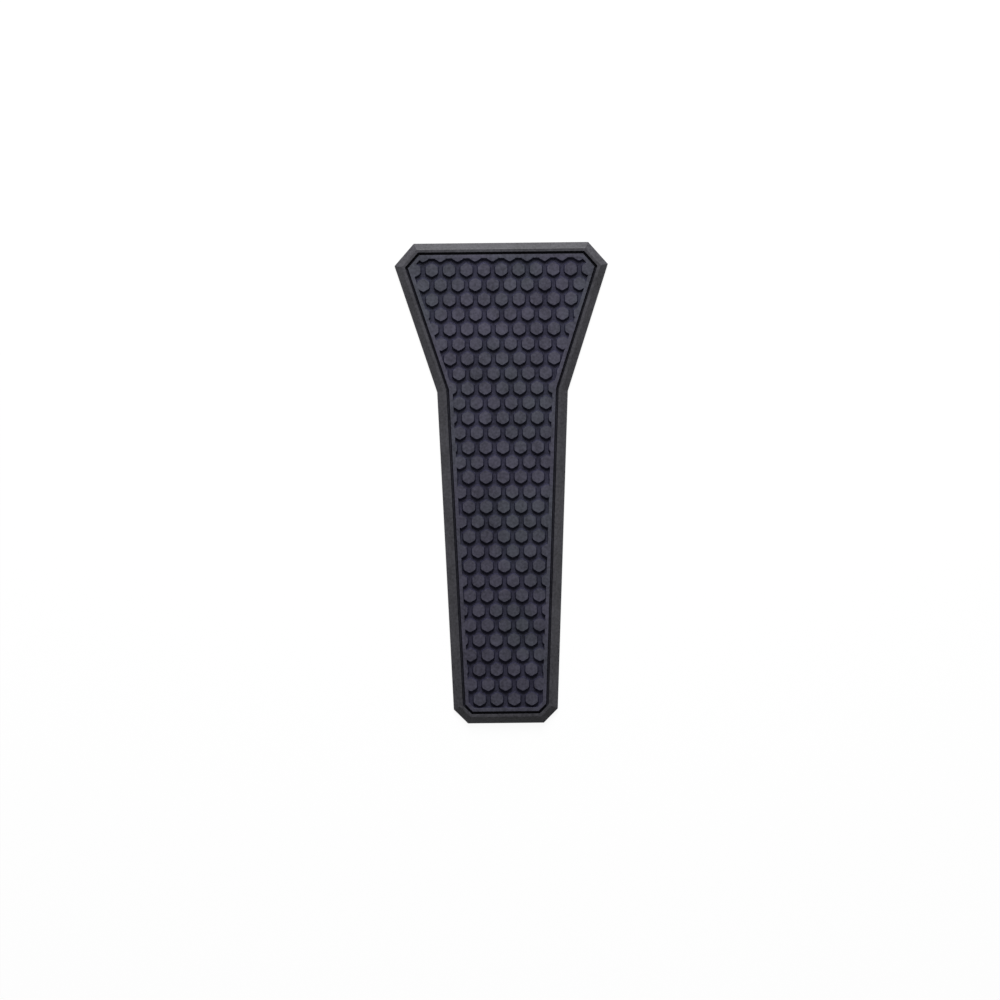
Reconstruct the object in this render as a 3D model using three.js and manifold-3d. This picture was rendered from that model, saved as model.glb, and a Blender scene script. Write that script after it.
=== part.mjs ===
// A motorcycle tank pad: one soft rubber moulding that sticks to the rear of the fuel tank and
// keeps belt buckles and jacket zips off the paint. A bevelled rim runs round a field of hexagonal
// studs, with a narrow groove and a flat lip between the two, and the back is flat and plain.
// Millimetres. X runs across the pad, +Y runs to its wide end, and +Z points away from the tank.
// The origin is on the back, at the middle of the pad's length and width.

import * as THREE from "three";
import { mergeVertices } from "three/addons/utils/BufferGeometryUtils.js";
import Module from "manifold-3d";

// Outline, the same on both sides of the middle line
const padLength = 180;
const shoulderWidth = 80; // widest, near the wide end
const waistWidth = 49; // where the taper turns into the long stem
const footWidth = 39; // stem at its narrow end
const waistFromWideEnd = 55.7;
const shoulderCornerAcross = 7.3; // the corners cut off the wide end
const shoulderCornerAlong = 8.3;
const footCorner = 5.3; // the corners cut off the narrow end, at 45 degrees

// Rim section, from the outer edge inwards
const padThickness = 3;
const edgeHeight = 1; // upright outer edge under the bevel
const bevelWidth = 2.4;
const crestWidth = 1;
const grooveWidth = 1.05;
const grooveDepth = 1.4;
const lipWidth = 1.2;
const fieldDepth = 1; // from the lip's top down to the floor between the studs
const mouldDraft = 0.2; // how far a moulded wall leans over its height
const edgeSoftness = 0.2; // how far from each corner of the section its rounding starts

// Studs, hexagons with two points along the pad
const studAcrossFlats = 4.5; // at the top
const studEdgeBreak = 0.25; // small chamfer round the top
const studPitchAcross = 6.5;
const rowPitch = 5.545;
const firstRowFromWideEnd = 4.55;

const studSides = 6;
const rubber = new THREE.MeshStandardMaterial({
  color: 0x44444b,
  roughness: 0.8,
  metalness: 0,
});

const wasm = await Module();
wasm.setup();

// A closed three.js geometry as a solid that can be joined and cut.
function solidOf(geometry) {
  const bare = geometry.clone();
  bare.deleteAttribute("normal");
  bare.deleteAttribute("uv");
  const merged = mergeVertices(bare, 1e-4);
  return new wasm.Manifold(
    new wasm.Mesh({
      numProp: 3,
      vertProperties: merged.attributes.position.array,
      triVerts: new Uint32Array(merged.index.array),
    }),
  );
}

// A solid back as a three.js geometry.
function geometryOf(solid) {
  const mesh = solid.getMesh();
  const positions = new THREE.BufferAttribute(mesh.vertProperties, 3);
  const geometry = new THREE.BufferGeometry();
  geometry.setAttribute("position", positions);
  geometry.setIndex(new THREE.BufferAttribute(mesh.triVerts, 1));
  const faceted = geometry.toNonIndexed();
  faceted.computeVertexNormals();
  return faceted;
}

// The outline's corners, anticlockwise from the right corner of the narrow end.
function outlineCorners() {
  const wideEnd = padLength / 2;
  const rightSide = [
    new THREE.Vector2(footWidth / 2 - footCorner, -wideEnd),
    new THREE.Vector2(footWidth / 2, footCorner - wideEnd),
    new THREE.Vector2(waistWidth / 2, wideEnd - waistFromWideEnd),
    new THREE.Vector2(shoulderWidth / 2, wideEnd - shoulderCornerAlong),
    new THREE.Vector2(shoulderWidth / 2 - shoulderCornerAcross, wideEnd),
  ];
  const leftSide = rightSide.map((p) => new THREE.Vector2(-p.x, p.y)).reverse();
  return [...rightSide, ...leftSide];
}

// Where two lines meet, each given by a point and a direction.
function meetingPoint(a, b) {
  const reach =
    b.point.clone().sub(a.point).cross(b.along) / a.along.cross(b.along);
  return a.point.clone().addScaledVector(a.along, reach);
}

// The outline moved inwards by an inset, with mitred corners. It always has the same number of
// corners: an edge that the inset has used up shrinks to the point where its neighbours meet.
function insetOutline(inset) {
  const corners = outlineCorners();
  const count = corners.length;
  const edges = corners.map((corner, i) => {
    const along = corners[(i + 1) % count].clone().sub(corner).normalize();
    const inwards = new THREE.Vector2(-along.y, along.x);
    return { point: corner.clone().addScaledVector(inwards, inset), along };
  });
  const before = (i) => (i + count - 1) % count;
  const after = (i) => (i + 1) % count;
  const mitred = edges.map((edge, i) => meetingPoint(edges[before(i)], edge));
  edges.forEach((edge, i) => {
    const left = mitred[after(i)].clone().sub(mitred[i]).dot(edge.along);
    if (left > 0) return;
    const point = meetingPoint(edges[before(i)], edges[after(i)]);
    mitred[i].copy(point);
    mitred[after(i)].copy(point);
  });
  return mitred;
}

// A section's line with each of its inner corners rounded by a short curve.
function softened(section) {
  const line = [section[0]];
  section.slice(1, -1).forEach((corner, i) => {
    const [towards, away] = [section[i], section[i + 2]].map((end) => {
      const distance = corner.distanceTo(end);
      const share = Math.min(edgeSoftness / distance, 0.5);
      return corner.clone().lerp(end, share);
    });
    const curve = new THREE.QuadraticBezierCurve(towards, corner, away);
    line.push(...curve.getPoints(2));
  });
  return [...line, section.at(-1)];
}

// A solid whose section runs round the outline: x is a section point's inset and y its height,
// from the back's outer edge over the rim to the edge of the face that closes the middle.
function loftRoundOutline(section) {
  const rings = section.map((at) =>
    insetOutline(at.x).map((p) => new THREE.Vector3(p.x, p.y, at.y)),
  );
  const count = rings[0].length;
  const triangles = [];
  rings.slice(1).forEach((upper, k) => {
    const lower = rings[k];
    for (let i = 0; i < count; i++) {
      const j = (i + 1) % count;
      triangles.push(lower[i], lower[j], upper[j]);
      triangles.push(lower[i], upper[j], upper[i]);
    }
  });
  const closeWith = (ring, facesUp) => {
    for (const [a, b, c] of THREE.ShapeUtils.triangulateShape(ring, [])) {
      triangles.push(ring[a], ring[facesUp ? b : c], ring[facesUp ? c : b]);
    }
  };
  closeWith(rings[0], false);
  closeWith(rings.at(-1), true);
  return solidOf(new THREE.BufferGeometry().setFromPoints(triangles));
}

// The rim, groove, lip and the sunken floor between them, without its studs.
const grooveStart = bevelWidth + crestWidth;
const lipStart = grooveStart + grooveWidth;
const fieldStart = lipStart + lipWidth;
const floorHeight = padThickness - fieldDepth;

function carcass() {
  const grooveBottom = padThickness - grooveDepth;
  const section = [
    new THREE.Vector2(0, 0),
    new THREE.Vector2(0, edgeHeight),
    new THREE.Vector2(bevelWidth, padThickness),
    new THREE.Vector2(grooveStart, padThickness),
    new THREE.Vector2(grooveStart + mouldDraft, grooveBottom),
    new THREE.Vector2(lipStart - mouldDraft, grooveBottom),
    new THREE.Vector2(lipStart, padThickness),
    new THREE.Vector2(fieldStart, padThickness),
    new THREE.Vector2(fieldStart + mouldDraft, floorHeight),
  ];
  return loftRoundOutline(softened(section));
}

// One stud, standing from inside the carcass to the lip's height.
function studGeometry() {
  const acrossPoints = 1 / Math.cos(Math.PI / studSides);
  const topRadius = (studAcrossFlats / 2) * acrossPoints;
  const footRadius = (studAcrossFlats / 2 + mouldDraft) * acrossPoints;
  const rootHeight = floorHeight / 2;
  const profile = [
    new THREE.Vector2(0, rootHeight),
    new THREE.Vector2(footRadius, rootHeight),
    new THREE.Vector2(footRadius, floorHeight),
    new THREE.Vector2(topRadius, padThickness - studEdgeBreak),
    new THREE.Vector2(topRadius - studEdgeBreak * acrossPoints, padThickness),
    new THREE.Vector2(0, padThickness),
  ];
  return new THREE.LatheGeometry(profile, studSides).rotateX(Math.PI / 2);
}

// The studs' honeycomb over the whole pad: every second row has a stud on the middle line, and
// the rows between stand half a pitch to the side.
function studField() {
  const stud = solidOf(studGeometry());
  const rows = Math.ceil((padLength - firstRowFromWideEnd) / rowPitch);
  const reach = Math.ceil(shoulderWidth / 2 / studPitchAcross);
  const studs = [];
  for (let row = 0; row <= rows; row++) {
    const y = padLength / 2 - firstRowFromWideEnd - row * rowPitch;
    const shift = row % 2 === 0 ? 0.5 : 0;
    for (let column = -reach; column <= reach; column++) {
      const x = (column + shift) * studPitchAcross;
      studs.push(stud.translate([x, y, 0]));
    }
  }
  return wasm.Manifold.union(studs);
}

// The pad: the studs are kept only as far as the middle of the lip, which swallows their cut ends.
function tankPad() {
  const lipMiddle = lipStart + lipWidth / 2;
  const reachOfStuds = loftRoundOutline([
    new THREE.Vector2(lipMiddle, 0),
    new THREE.Vector2(lipMiddle, 2 * padThickness),
  ]);
  const solid = carcass().add(studField().intersect(reachOfStuds));
  const mesh = new THREE.Mesh(geometryOf(solid), rubber);
  mesh.name = "tank_pad";
  return mesh;
}

const part = new THREE.Group();
part.add(tankPad());

export default part;
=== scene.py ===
"""A studded rubber tank pad: a fine moulding in its CAD solid's place, and a plain white studio."""

import math

import bmesh
import bpy
from bpy.props import FloatProperty, FloatVectorProperty, PointerProperty
from mathutils import Matrix, Vector


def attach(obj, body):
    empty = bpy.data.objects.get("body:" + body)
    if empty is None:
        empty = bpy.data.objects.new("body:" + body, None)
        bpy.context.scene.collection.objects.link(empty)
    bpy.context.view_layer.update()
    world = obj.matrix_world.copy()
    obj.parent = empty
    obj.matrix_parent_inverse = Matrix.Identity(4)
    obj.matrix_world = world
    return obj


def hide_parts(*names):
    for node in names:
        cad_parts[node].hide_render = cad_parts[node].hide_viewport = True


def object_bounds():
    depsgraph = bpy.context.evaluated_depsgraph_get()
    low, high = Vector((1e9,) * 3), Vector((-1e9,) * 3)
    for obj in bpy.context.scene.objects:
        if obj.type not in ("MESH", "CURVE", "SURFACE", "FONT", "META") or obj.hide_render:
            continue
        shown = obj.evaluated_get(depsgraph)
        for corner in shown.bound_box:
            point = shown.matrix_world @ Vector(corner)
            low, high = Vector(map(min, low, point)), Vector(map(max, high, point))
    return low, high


bl_info = {
    "name": "Moulded tank pad",
    "version": (1, 0, 0),
    "blender": (4, 5, 0),
    "location": "View3D > Sidebar > Tank pad",
    "description": "Models a studded rubber tank pad and lights it in a white studio",
    "category": "Object",
}

MM = 0.001
NODE = "tank_pad"

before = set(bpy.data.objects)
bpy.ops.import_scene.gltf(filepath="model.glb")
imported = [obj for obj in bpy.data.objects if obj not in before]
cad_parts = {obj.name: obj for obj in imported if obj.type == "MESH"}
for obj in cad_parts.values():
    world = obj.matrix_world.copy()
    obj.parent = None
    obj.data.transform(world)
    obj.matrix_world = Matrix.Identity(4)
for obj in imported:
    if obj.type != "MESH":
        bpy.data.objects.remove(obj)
CAD_LOW, CAD_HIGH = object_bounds()

# The moulding
STUD_SIDES = 6
RIM_SEGMENTS = 3  # faces that round an edge of the rim
MERGE_DISTANCE = 0.001 * MM  # points that are closer are one
FOOT_OVERLAP = 0.02 * MM  # how far a stud's foot runs on below the floor
FLAT_ANGLE = math.radians(5)  # edges that bend less aren't rounded
SHARP_ANGLE = math.radians(50)  # edges that bend more are shaded sharp
UPWARD = 0.8  # the least upward part of a stud top's normal
LARGE_FACES_FIRST = 100  # weight at which the large faces set the shading

# The rubber
CLOUD_FADE = (0.4, 0.68)  # where in its noise the clouding starts and is complete
ROUGHNESS_REACH = 0.1  # how far the grain changes the roughness either way

# The pad's tones, as places in its list of materials; the groove, floor and wall tones carry painted
# shade
RIM, CREST, GROOVE, FIELD, FLOOR, WALL = range(6)

# The studio
WHITE = (1, 1, 1, 1)
FLOOR_COLOUR = (0.8, 0.8, 0.8, 1)
FLOOR_REACH = 3.0  # from the middle to an edge, in metres
FLOOR_GAP = 0.1 * MM  # between the floor and the pad's back
FLOOR_GLOW = 1.06  # strength that shows the floor white
FLOOR_GLOW_SHARE = 0.88  # the rest shows the light and shadow that fall on it


def offset(label, description, millimetres, **limits):
    """A length property, of either sign, whose default is given in millimetres."""
    return FloatProperty(
        name=label,
        description=description,
        default=millimetres * MM,
        precision=5,
        unit="LENGTH",
        **limits,
    )


def size(label, description, millimetres):
    """A length property that is never negative."""
    return offset(label, description, millimetres, min=0.0)


def colour(label, description, rgb):
    """A colour property, in the linear values that a shader takes."""
    return FloatVectorProperty(
        name=label,
        description=description,
        default=rgb,
        size=3,
        min=0.0,
        max=1.0,
        subtype="COLOR",
    )


def share(label, description, value):
    """A property between 0 and 1."""
    return FloatProperty(name=label, description=description, default=value, min=0.0, max=1.0)


class TankPadSizes(bpy.types.PropertyGroup):
    """What the pad measures. Its length, width and thickness come from the CAD solid's bounds."""

    waist_width: size("Waist width", "Width where the taper turns into the stem", 49)
    foot_width: size("Foot width", "Width of the stem at the narrow end", 39)
    waist_place: size("Waist place", "From the wide end's edge to the waist", 55.7)
    shoulder_across: size("Shoulder cut across", "Corner cut off the wide end, across", 7.3)
    shoulder_along: size("Shoulder cut along", "Corner cut off the wide end, along", 8.3)
    foot_corner: size("Foot cut", "Corner cut off the narrow end, both ways", 5.3)

    edge_height: size("Edge height", "Upright outer edge under the bevel", 1)
    bevel_width: size("Bevel width", "Slope from the outer edge up to the crest", 2.4)
    crest_width: size("Crest width", "Flat top of the rim", 1.12)
    groove_width: size("Groove width", "Groove between the crest and the lip, at its top", 0.93)
    groove_depth: size("Groove depth", "From the crest down to the groove's bottom", 1.4)
    lip_width: size("Lip width", "Flat band between the groove and the studs", 1.35)
    field_depth: size("Field depth", "From the lip down to the floor between the studs", 1)
    draft: size("Draft", "How far a moulded wall leans over its height", 0.2)
    edge_radius: size("Edge radius", "Rounding of the rim's edges", 0.15)

    stud_width: size("Stud width", "Across the flats at the top", 4.6)
    stud_pitch: size("Stud pitch", "From stud to stud across the pad", 6.5)
    row_pitch: size("Row pitch", "From row to row along the pad", 5.545)
    first_row: size("First row", "From the wide end's edge to the first row's middle", 4.55)
    stud_edge: size("Stud edge", "Chamfer round a stud's top", 0.08)
    stud_corner: size("Stud corner", "Chamfer of a stud's upright corners", 0.34)
    stud_foot: size("Stud foot", "Slope between a stud's side and the floor", 0.08)
    stud_draft: size("Stud draft", "How far a stud's side leans over its height", 0.32)
    stud_drop: size("Stud drop", "How far the stud tops lie below the lip", 0.015)


class TankPadFinish(bpy.types.PropertyGroup):
    """The rubber's colours, painted shade, gloss and grain."""

    rim_colour: colour("Rim", "Rubber of the bevel, crest and back", (0.058, 0.057, 0.066))
    field_colour: colour("Field", "Rubber of the lip and the studs", (0.064, 0.061, 0.088))
    bloom_colour: colour("Bloom", "Cooler cast that clouds the field", (0.060, 0.064, 0.081))
    # Painted shade: darkens the groove, where shade falls in it
    groove_painted_shade: colour("Groove shade", "What the groove keeps of the rim's colour", (0.36, 0.36, 0.44))
    # Painted shade: darkens the floor between the studs, where shade falls
    floor_painted_shade: colour("Floor shade", "What the floor keeps of the field's colour", (0.51, 0.51, 0.61))
    # Painted shade: darkens the steep walls of the studs and the field, where shade falls, with a bluer
    # cast
    wall_painted_shade: colour("Wall shade", "What steep walls keep of the field's colour", (0.47, 0.47, 0.63))
    cloud_size: size("Cloud size", "Size of the soft changes in colour", 28)
    speckle_size: size("Speckle size", "Size of the fine changes in tone", 0.9)
    grain_size: size("Grain size", "Size of the moulded grain", 0.45)
    grain_height: size("Grain height", "Height of the moulded grain", 0.02)
    patch_size: size("Patch size", "Size of the lighter and darker patches", 9)
    speckle: share("Speckle", "How far the tone varies from speck to speck", 0.7)
    patchiness: share("Patchiness", "How far the tone varies from patch to patch", 0.34)
    bevel_roughness: share("Bevel roughness", "How matt the bevel and the groove are", 0.5)
    bevel_shine: share("Bevel shine", "Strength of their highlight", 0.36)
    roughness: share("Roughness", "How matt the rest is", 0.75)
    shine: share("Shine", "Strength of its highlight", 0.2)


class TankPadStage(bpy.types.PropertyGroup):
    """The camera's framing, the lamp and the sky."""

    view_width: size("View width", "What the picture's width covers at the floor", 375)
    view_across: offset("View across", "The picture's middle, across from the pad's", -1.36)
    view_along: offset("View along", "The picture's middle, along from the pad's", -6.38)
    camera_height: size("Camera height", "Camera above the floor", 1500)
    roll: FloatProperty(
        name="Roll",
        description="How far the camera is turned about its view, clockwise",
        default=math.radians(0.6),
        subtype="ANGLE",
    )
    key_power: FloatProperty(
        name="Key power",
        description="Power of the lamp beyond the wide end",
        default=8.45,
        min=0.0,
        unit="POWER",
    )
    key_size: size("Key size", "Width of the lamp", 365)
    key_distance: size("Key distance", "Lamp from the pad's middle", 850)
    key_elevation: FloatProperty(
        name="Key elevation",
        description="Angle of the lamp above the floor",
        default=math.radians(34),
        subtype="ANGLE",
    )
    sky_strength: FloatProperty(
        name="Sky strength",
        description="Even light from all round",
        default=0.18,
        min=0.0,
    )


class Signal:
    """A node's output. Arithmetic on it adds Math nodes, so 1 - mask * 0.3 reads as it is."""

    def __init__(self, graph, socket):
        self.graph = graph
        self.socket = socket

    def _math(self, operation, first, second):
        return self.graph.node("ShaderNodeMath", {"operation": operation}, {0: first, 1: second})

    def __add__(self, other):
        return self._math("ADD", self, other)

    def __sub__(self, other):
        return self._math("SUBTRACT", self, other)

    def __rsub__(self, other):
        return self._math("SUBTRACT", other, self)

    def __mul__(self, other):
        return self._math("MULTIPLY", self, other)

    __radd__ = __add__
    __rmul__ = __mul__


class Graph:
    """The node tree of one material or of the world."""

    def __init__(self, tree):
        self.tree = tree
        tree.nodes.clear()

    def node(self, kind, settings=None, sockets=None, output=0):
        """Adds a node, with its settings first and then its sockets' values or links.

        Returns the output of that place, or nothing where the node has none.
        """
        made = self.tree.nodes.new(kind)
        for name, value in (settings or {}).items():
            setattr(made, name, value)
        for name, value in (sockets or {}).items():
            if isinstance(value, Signal):
                self.tree.links.new(value.socket, made.inputs[name])
            else:
                made.inputs[name].default_value = value
        return Signal(self, made.outputs[output]) if made.outputs else None

    def mix_colours(self, factor, first, second):
        """One colour turning into another as factor goes from 0 to 1."""
        settings = {"data_type": "RGBA"}
        return self.node("ShaderNodeMix", settings, {0: factor, 6: first, 7: second}, output=2)

    def scale_colour(self, colour, factor):
        """A colour made lighter or darker by a factor."""
        settings = {"operation": "SCALE"}
        return self.node("ShaderNodeVectorMath", settings, {"Vector": colour, "Scale": factor})

    def noise(self, place, feature, detail, roughness=0.5):
        """Noise whose features are about one length across, from 0 to 1."""
        sockets = {
            "Vector": place,
            "Scale": 1 / feature,
            "Detail": detail,
            "Roughness": roughness,
        }
        return self.node("ShaderNodeTexNoise", {}, sockets)

    def fade(self, value, low, high):
        """0 where value is under low, 1 where it is over high, and smooth between."""
        settings = {"interpolation_type": "SMOOTHSTEP"}
        sockets = {"Value": value, "From Min": low, "From Max": high}
        return self.node("ShaderNodeMapRange", settings, sockets)


def either_way(noise, reach):
    """A noise from 0 to 1 turned into a change of up to reach either way."""
    return (noise - 0.5) * (2 * reach)


def shaded(rgb, shade):
    """A colour times a painted shade, with the fourth value that a colour socket takes."""
    return (*(value * part for value, part in zip(rgb, shade)), 1.0)


def new_material(name):
    """An empty node material and its graph."""
    material = bpy.data.materials.new(name)
    material.use_nodes = True
    return material, Graph(material.node_tree)


def rubber(name, colours, gloss, shade, finish):
    """Moulded rubber with a fine grain, specks and patches.

    Of its two colours the first clouds into the second. Its gloss is a roughness and a shine, and
    its shade is painted shade, what it keeps of the colours and of the shine where shade falls.
    """
    roughness, shine = gloss
    material, graph = new_material(name)
    place = graph.node("ShaderNodeTexCoord", output="Object")
    cloud = graph.noise(place, finish.cloud_size, detail=2)
    grain = graph.noise(place, finish.grain_size, detail=3, roughness=0.6)
    speck = graph.noise(place, finish.speckle_size, detail=2)
    patch = graph.noise(place, finish.patch_size, detail=1)
    clouding = graph.fade(cloud, *CLOUD_FADE)
    main, cloudy = (shaded(rgb, shade) for rgb in colours)
    clouded = graph.mix_colours(clouding, main, cloudy)
    speckled = either_way(speck, finish.speckle)
    patched = either_way(patch, finish.patchiness)
    base = graph.scale_colour(clouded, 1 + speckled + patched)
    bump = graph.node("ShaderNodeBump", {}, {"Distance": finish.grain_height, "Height": grain})
    shader = graph.node(
        "ShaderNodeBsdfPrincipled",
        {},
        {
            "Base Color": base,
            "Roughness": roughness + either_way(grain, ROUGHNESS_REACH),
            # painted shade dims the highlight as well as the colour
            "Specular IOR Level": shine * max(shade),
            "Normal": bump,
        },
    )
    graph.node("ShaderNodeOutputMaterial", {}, {"Surface": shader})
    return material


def pad_rubbers(finish):
    """The pad's materials, in the order of RIM, CREST, GROOVE, FIELD, FLOOR and WALL."""
    rim = (finish.rim_colour, finish.rim_colour)
    field = (finish.field_colour, finish.bloom_colour)
    satin = (finish.bevel_roughness, finish.bevel_shine)
    matt = (finish.roughness, finish.shine)
    unshaded = (1, 1, 1)
    return [
        rubber("rim_rubber", rim, satin, unshaded, finish),
        rubber("crest_rubber", rim, matt, unshaded, finish),
        # The groove's rubber is the rim's rubber with painted shade
        rubber("groove_rubber_with_painted_shade", rim, satin, finish.groove_painted_shade, finish),
        rubber("field_rubber", field, matt, unshaded, finish),
        # The floor's and walls' rubbers are the field's rubber with painted shade
        rubber("floor_rubber_with_painted_shade", field, matt, finish.floor_painted_shade, finish),
        rubber("wall_rubber_with_painted_shade", field, matt, finish.wall_painted_shade, finish),
    ]


def close_and_orient(bm):
    """Merges doubles and turns all faces outwards."""
    bmesh.ops.remove_doubles(bm, verts=bm.verts, dist=MERGE_DISTANCE)
    bmesh.ops.recalc_face_normals(bm, faces=bm.faces)


def soften(bm, edges, width, segments):
    """Chamfers edges, or rounds them where there is more than one segment."""
    bmesh.ops.bevel(
        bm,
        geom=edges,
        offset=width,
        offset_type="OFFSET",
        segments=segments,
        profile=0.5,
        affect="EDGES",
        clamp_overlap=True,
        material=-1,
    )


def mesh_from(name, bm):
    """Writes a bmesh to a new mesh and frees it."""
    mesh = bpy.data.meshes.new(name)
    bm.to_mesh(mesh)
    bm.free()
    return mesh


def mesh_object(name, bm, materials):
    """Writes a bmesh to a new object in the scene."""
    mesh = mesh_from(name, bm)
    for material in materials:
        mesh.materials.append(material)
    made = bpy.data.objects.new(name, mesh)
    bpy.context.scene.collection.objects.link(made)
    return made


def outline_corners(sizes):
    """The outline's corners, anticlockwise from the right corner of the narrow end."""
    shoulder = CAD_HIGH.x
    waist = sizes.waist_width / 2
    foot = sizes.foot_width / 2
    right_side = [
        (foot - sizes.foot_corner, CAD_LOW.y),
        (foot, CAD_LOW.y + sizes.foot_corner),
        (waist, CAD_HIGH.y - sizes.waist_place),
        (shoulder, CAD_HIGH.y - sizes.shoulder_along),
        (shoulder - sizes.shoulder_across, CAD_HIGH.y),
    ]
    left_side = [(-x, y) for x, y in reversed(right_side)]
    return right_side + left_side


def outline_face(bm, sizes):
    """The pad's outline as one upward face at the height of its back."""
    corners = [bm.verts.new((x, y, CAD_LOW.z)) for x, y in outline_corners(sizes)]
    face = bm.faces.new(corners)
    face.normal_update()
    return face


def raised(bm, face, height):
    """Extrudes a face straight up, and returns its new top."""
    made = bmesh.ops.extrude_face_region(bm, geom=[face])["geom"]
    corners = [v for v in made if isinstance(v, bmesh.types.BMVert)]
    bmesh.ops.translate(bm, verts=corners, vec=(0, 0, height))
    return next(f for f in made if isinstance(f, bmesh.types.BMFace))


def step_in(bm, face, inwards, upwards, tone):
    """Insets a face with mitred corners and moves it up or down. The ring round it gets a tone."""
    made = bmesh.ops.inset_individual(
        bm, faces=[face], thickness=inwards, depth=upwards, use_even_offset=True
    )
    for ring_face in made["faces"]:
        ring_face.material_index = tone


def carcass(sizes, materials):
    """The rim, groove, lip and sunken floor, as one body with soft edges."""
    bm = bmesh.new()
    thickness = CAD_HIGH.z - CAD_LOW.z
    groove_bottom = sizes.groove_width - 2 * sizes.draft
    top = raised(bm, outline_face(bm, sizes), sizes.edge_height)
    step_in(bm, top, sizes.bevel_width, thickness - sizes.edge_height, RIM)
    step_in(bm, top, sizes.crest_width, 0, CREST)
    # The groove, the walls round the field and the floor take the tones with painted shade
    step_in(bm, top, sizes.draft, -sizes.groove_depth, GROOVE)
    step_in(bm, top, groove_bottom, 0, GROOVE)
    step_in(bm, top, sizes.draft, sizes.groove_depth, GROOVE)
    step_in(bm, top, sizes.lip_width, 0, FIELD)
    step_in(bm, top, sizes.draft, -sizes.field_depth, WALL)
    top.material_index = FLOOR
    close_and_orient(bm)
    bent = [e for e in bm.edges if e.calc_face_angle(0.0) > FLAT_ANGLE]
    soften(bm, bent, sizes.edge_radius, segments=RIM_SEGMENTS)
    return mesh_object("carcass", bm, materials)


def stud_profile(sizes, floor, top):
    """Points (distance from the middle to a flat, height) up a stud's side."""
    flat_top = sizes.stud_width / 2
    flat_foot = flat_top + sizes.stud_draft
    edge, slope = sizes.stud_edge, sizes.stud_foot
    return [
        (flat_foot + slope, floor - sizes.field_depth / 2),
        (flat_foot + slope, floor - FOOT_OVERLAP),
        (flat_foot, floor + slope),
        (flat_top, top - edge),
        (flat_top - edge, top),
    ]


def stud_tone(face, floor):
    """A stud's top has the field's tone, its foot the floor's and its sides the walls'; the floor's and
    walls' tones are painted shade.
    """
    if face.normal.z > UPWARD:
        return FIELD
    if min(v.co.z for v in face.verts) < floor:
        return FLOOR
    return WALL


def stud(sizes, floor, top):
    """The mesh of one hexagonal stud at the origin, with two points along Y."""
    bm = bmesh.new()
    to_point = 1 / math.cos(math.pi / STUD_SIDES)
    line = [
        bm.verts.new((0, distance * to_point, height))
        for distance, height in stud_profile(sizes, floor, top)
    ]
    edges = [bm.edges.new(pair) for pair in zip(line, line[1:])]
    bmesh.ops.spin(
        bm,
        geom=line + edges,
        cent=(0, 0, 0),
        axis=(0, 0, 1),
        angle=2 * math.pi,
        steps=STUD_SIDES,
        use_merge=True,
    )
    bmesh.ops.holes_fill(bm, edges=bm.edges, sides=STUD_SIDES)
    close_and_orient(bm)
    rising = [e for e in bm.edges if abs(e.verts[0].co.z - e.verts[1].co.z) > MERGE_DISTANCE]
    soften(bm, rising, sizes.stud_corner, segments=1)
    for face in bm.faces:
        face.material_index = stud_tone(face, floor)
    return mesh_from("stud", bm)


def stud_places(sizes):
    """Where studs stand over the whole pad: every second row has one on the middle line."""
    rows = math.ceil((CAD_HIGH.y - CAD_LOW.y - sizes.first_row) / sizes.row_pitch)
    reach = math.ceil(CAD_HIGH.x / sizes.stud_pitch)
    for row in range(rows + 1):
        y = CAD_HIGH.y - sizes.first_row - row * sizes.row_pitch
        shift = 0.5 if row % 2 == 0 else 0.0
        for column in range(-reach, reach + 1):
            yield (column + shift) * sizes.stud_pitch, y, 0


def stud_field(sizes, materials):
    """The honeycomb of studs, before it is trimmed to the pad."""
    floor = CAD_HIGH.z - sizes.field_depth
    one = stud(sizes, floor, CAD_HIGH.z - sizes.stud_drop)
    bm = bmesh.new()
    for place in stud_places(sizes):
        before = len(bm.verts)
        bm.from_mesh(one)
        bm.verts.ensure_lookup_table()
        bmesh.ops.translate(bm, verts=bm.verts[before:], vec=place)
    bpy.data.meshes.remove(one)
    return mesh_object("stud_field", bm, materials)


def field_cutter(sizes, materials):
    """A prism that reaches to the middle of the lip, to trim the studs with."""
    bm = bmesh.new()
    to_lip = sizes.bevel_width + sizes.crest_width + sizes.groove_width + sizes.lip_width / 2
    base = outline_face(bm, sizes)
    outline = base.verts[:]
    step_in(bm, base, to_lip, 0, FIELD)
    bmesh.ops.delete(bm, geom=outline, context="VERTS")
    raised(bm, base, 2 * (CAD_HIGH.z - CAD_LOW.z))
    close_and_orient(bm)
    return mesh_object("field_cutter", bm, materials)


def combine(piece, other, operation):
    """Joins or cuts one solid with another, and removes the other."""
    step = piece.modifiers.new(operation.title(), "BOOLEAN")
    step.operation = operation
    step.solver = "MANIFOLD"
    step.object = other
    bpy.context.view_layer.update()
    evaluated = piece.evaluated_get(bpy.context.evaluated_depsgraph_get())
    mesh = bpy.data.meshes.new_from_object(evaluated)
    piece.modifiers.clear()
    piece.data = mesh
    bpy.data.objects.remove(other)


def finish_surface(piece):
    """Smooth shading that keeps the flats flat."""
    for polygon in piece.data.polygons:
        polygon.use_smooth = True
    piece.data.set_sharp_from_angle(angle=SHARP_ANGLE)
    weighted = piece.modifiers.new("Weighted normals", "WEIGHTED_NORMAL")
    weighted.keep_sharp = True
    weighted.weight = LARGE_FACES_FIRST


class TANKPAD_OT_moulding(bpy.types.Operator):
    """Models the whole rubber moulding and puts it in the CAD solid's place"""

    bl_idname = "tankpad.moulding"
    bl_label = "Rubber moulding"

    def execute(self, context):
        sizes = context.scene.tank_pad_sizes
        finish = context.scene.tank_pad_finish
        materials = pad_rubbers(finish)
        piece = carcass(sizes, materials)
        studs = stud_field(sizes, materials)
        combine(studs, field_cutter(sizes, materials), "INTERSECT")
        combine(piece, studs, "UNION")
        finish_surface(piece)
        piece.name = "tank_pad_moulding"
        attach(piece, "root")
        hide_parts(NODE)
        return {"FINISHED"}


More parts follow.
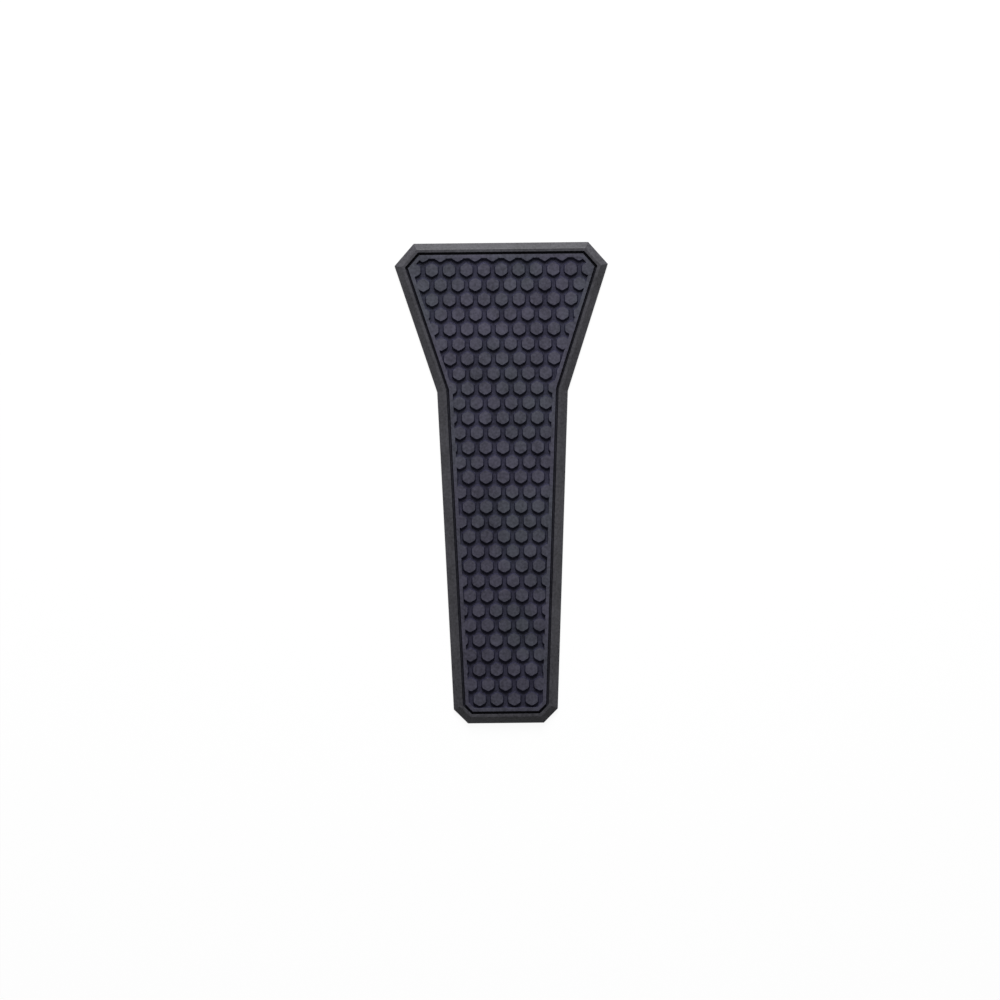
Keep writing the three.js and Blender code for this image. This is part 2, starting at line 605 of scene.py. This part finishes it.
def studio_floor():
    """A wide white floor just under the pad. It keeps a faint shadow and shows white."""
    bm = bmesh.new()
    bmesh.ops.create_grid(bm, x_segments=1, y_segments=1, size=FLOOR_REACH)
    bmesh.ops.translate(bm, verts=bm.verts, vec=(0, 0, CAD_LOW.z - FLOOR_GAP))
    material, graph = new_material("studio_white")
    to_camera = graph.node("ShaderNodeLightPath", output="Is Camera Ray")
    to_gloss = graph.node("ShaderNodeLightPath", output="Is Glossy Ray")
    glowing = (to_camera + to_gloss) * FLOOR_GLOW_SHARE
    matt = graph.node("ShaderNodeBsdfDiffuse", {}, {"Color": FLOOR_COLOUR})
    glow = graph.node("ShaderNodeEmission", {}, {"Color": WHITE, "Strength": FLOOR_GLOW})
    shader = graph.node("ShaderNodeMixShader", {}, {0: glowing, 1: matt, 2: glow})
    graph.node("ShaderNodeOutputMaterial", {}, {"Surface": shader})
    return mesh_object("studio_floor", bm, [material])


def studio_sky(stage):
    """Even light from all round, that shows white behind the floor."""
    world = bpy.data.worlds.new("studio_sky")
    world.use_nodes = True
    graph = Graph(world.node_tree)
    seen = graph.node("ShaderNodeLightPath", output="Is Camera Ray")
    strength = seen * (1.0 - stage.sky_strength) + stage.sky_strength
    background = graph.node("ShaderNodeBackground", {}, {"Color": WHITE, "Strength": strength})
    graph.node("ShaderNodeOutputWorld", {}, {"Surface": background})
    bpy.context.scene.world = world


def key_lamp(stage):
    """A square soft lamp beyond the wide end, facing the pad."""
    lamp = bpy.data.lights.new("key_lamp", "AREA")
    lamp.shape = "SQUARE"
    lamp.size = stage.key_size
    lamp.energy = stage.key_power
    made = bpy.data.objects.new("key_lamp", lamp)
    towards = Vector((0, math.cos(stage.key_elevation), math.sin(stage.key_elevation)))
    place = (CAD_LOW + CAD_HIGH) / 2 + towards * stage.key_distance
    turn = (-towards).to_track_quat("-Z", "Y").to_matrix().to_4x4()
    made.matrix_world = Matrix.Translation(place) @ turn
    bpy.context.scene.collection.objects.link(made)


def studio_camera(stage):
    """A camera straight above, with the photograph's framing."""
    middle = (CAD_LOW + CAD_HIGH) / 2
    lens = bpy.data.cameras.new("studio_camera")
    lens.lens = lens.sensor_width * stage.camera_height / stage.view_width
    made = bpy.data.objects.new("studio_camera", lens)
    place = Vector(
        (middle.x + stage.view_across, middle.y + stage.view_along, stage.camera_height)
    )
    made.matrix_world = Matrix.Translation(place) @ Matrix.Rotation(-stage.roll, 4, "Z")
    bpy.context.scene.collection.objects.link(made)
    bpy.context.scene.camera = made


class TANKPAD_OT_stage(bpy.types.Operator):
    """Sets up the white floor, the even sky, the lamp and the camera"""

    bl_idname = "tankpad.stage"
    bl_label = "White studio"

    def execute(self, context):
        stage = context.scene.tank_pad_stage
        studio_floor()
        studio_sky(stage)
        key_lamp(stage)
        studio_camera(stage)
        context.scene.view_settings.view_transform = "Standard"
        return {"FINISHED"}


class TANKPAD_PT_tools(bpy.types.Panel):
    """Lists the pad's operators and values"""

    bl_idname = "TANKPAD_PT_tools"
    bl_label = "Tank pad"
    bl_space_type = "VIEW_3D"
    bl_region_type = "UI"
    bl_category = "Tank pad"

    def draw(self, context):
        layout = self.layout
        layout.operator(TANKPAD_OT_moulding.bl_idname)
        layout.operator(TANKPAD_OT_stage.bl_idname)
        for name in GROUPS:
            group = getattr(context.scene, name)
            box = layout.box()
            for value in group.bl_rna.properties.keys():
                if value not in ("rna_type", "name"):
                    box.prop(group, value)


GROUPS = {
    "tank_pad_sizes": TankPadSizes,
    "tank_pad_finish": TankPadFinish,
    "tank_pad_stage": TankPadStage,
}
TOOLS = (TANKPAD_OT_moulding, TANKPAD_OT_stage, TANKPAD_PT_tools)


def register():
    """Adds the pad's values to the scene, and its operators and panel."""
    for name, group in GROUPS.items():
        bpy.utils.register_class(group)
        setattr(bpy.types.Scene, name, PointerProperty(type=group))
    for tool in TOOLS:
        bpy.utils.register_class(tool)


def unregister():
    """Takes away what register added."""
    for tool in reversed(TOOLS):
        bpy.utils.unregister_class(tool)
    for name, group in reversed(GROUPS.items()):
        delattr(bpy.types.Scene, name)
        bpy.utils.unregister_class(group)


def main():
    """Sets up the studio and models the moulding."""
    register()
    bpy.ops.tankpad.stage()
    bpy.ops.tankpad.moulding()
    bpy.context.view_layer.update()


if __name__ == "__main__":
    main()
